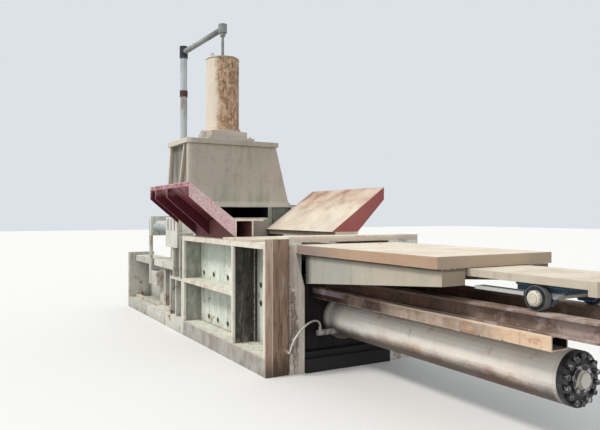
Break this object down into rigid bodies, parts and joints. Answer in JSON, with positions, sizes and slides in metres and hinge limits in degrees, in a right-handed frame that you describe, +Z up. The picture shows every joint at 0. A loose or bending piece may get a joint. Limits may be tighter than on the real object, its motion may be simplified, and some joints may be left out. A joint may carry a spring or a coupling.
{
  "type": "recycling baler",
  "caption": "Scrap metal baling press: ribbed charging box with hopper panels, main ram with sliding cover, tamper tower, transverse ram and bale gate.",
  "frame": {"origin": "on the floor, on the channel's centre plane, under the charging box's end face", "axes": "+X towards the tail of the main cylinder, +Y away from the gate side, +Z up"},
  "size_m": [8.52, 3.7959, 4.567],
  "materials": {
    "frame_paint": "worn pale grey-green paint",
    "brown_rust": "brown rusted paint",
    "grey_steel": "dull steel",
    "worn_steel": "steel worn bright",
    "cream_paint": "worn cream paint",
    "faded_red": "faded red paint",
    "beam_rust": "rusted beam",
    "tan_paint": "tan paint with rust",
    "barrel_grey": "pale grey paint with rust stains",
    "tower_grey": "grey-taupe paint",
    "rust_cream": "cream paint broken by orange rust",
    "oily_black": "oily black",
    "steel_blue": "blue paint, worn",
    "pipe_grey": "grey pipe with rust bands",
    "chrome": "polished rod",
    "hose_rubber": "grey hose cover"
  },
  "bodies": {
    "press_frame": {"box_floor": "worn_steel", "drop_pipe": "pipe_grey", "end_portal": "frame_paint", "far_cover_cheek": "frame_paint", "far_cradle_beam": "tan_paint", "far_hopper_curb": "grey_steel", "far_rail_beam": "beam_rust", "far_side_frame": "frame_paint", "far_wall_liner": "worn_steel", "fixed_cover": "tan_paint", "front_saddle": "beam_rust", "gate_barrel": "steel_blue", "gate_cylinder_bracket": "cream_paint", "gate_run_frame": "frame_paint", "head_back_wall": "frame_paint", "head_far_frame": "frame_paint", "head_floor": "worn_steel", "head_near_frame": "frame_paint", "hopper_far_panel": "faded_red", "hopper_near_panel": "faded_red", "hose_port": "grey_steel", "main_barrel": "barrel_grey", "main_cap": "oily_black", "main_gland": "grey_steel", "near_cover_cheek": "frame_paint", "near_cradle_beam": "tan_paint", "near_end_plate": "brown_rust", "near_hopper_curb": "brown_rust", "near_rail_beam": "beam_rust", "near_side_frame": "frame_paint", "near_wall_liner": "worn_steel", "oil_hose": "hose_rubber", "pipe_arm": "pipe_grey", "pipe_bracket": "beam_rust", "pipe_post": "pipe_grey", "rear_crosshead": "beam_rust", "rear_saddle": "beam_rust", "rear_tie_beam": "tan_paint", "roof_plate": "tan_paint", "shear_beam": "worn_steel", "tamper_barrel": "rust_cream", "tamper_collar": "tower_grey", "tower_housing": "tower_grey", "transverse_barrel": "barrel_grey", "transverse_cap": "oily_black", "transverse_end_plate": "frame_paint"},
    "main_ram": {"main_ram_head": "grey_steel", "ram_face_plate": "worn_steel", "main_rod": "chrome", "moving_cover": "cream_paint", "carriage_frame": "steel_blue", "carriage_axle": "grey_steel"},
    "near_wheel_body": {"near_wheel": "steel_blue"},
    "far_wheel_body": {"far_wheel": "steel_blue"},
    "tamper": {"tamper_platen": "grey_steel", "tamper_rod": "chrome"},
    "transverse": {"transverse_ram": "grey_steel", "transverse_rod": "chrome"},
    "gate_body": {"gate": "frame_paint", "gate_rod": "chrome"}
  },
  "joints": [
    {"name": "main_ram_slide", "type": "slide", "parent": "press_frame", "child": "main_ram", "axis": [-1, 0, 0], "range_m": [0, 1.97]},
    {"name": "near_wheel_turn", "type": "hinge", "parent": "main_ram", "child": "near_wheel_body", "pos_m": [2.64, -0.288, 1.0553], "axis": [0, -1, 0], "range_deg": [0, 1330]},
    {"name": "far_wheel_turn", "type": "hinge", "parent": "main_ram", "child": "far_wheel_body", "pos_m": [2.64, 0.288, 1.0553], "axis": [0, -1, 0], "range_deg": [0, 1330]},
    {"name": "tamper_slide", "type": "slide", "parent": "press_frame", "child": "tamper", "axis": [0, 0, -1], "range_m": [0, 0.96]},
    {"name": "transverse_slide", "type": "slide", "parent": "press_frame", "child": "transverse", "axis": [0, -1, 0], "range_m": [0, 1.03]},
    {"name": "gate_slide", "type": "slide", "parent": "press_frame", "child": "gate_body", "axis": [-1, 0, 0], "range_m": [0, 0.92]}
  ],
  "couplings": [
    {"joint": "near_wheel_turn", "follows": "main_ram_slide", "rad_per_m": 11.765},
    {"joint": "far_wheel_turn", "follows": "main_ram_slide", "rad_per_m": 11.765}
  ]
}
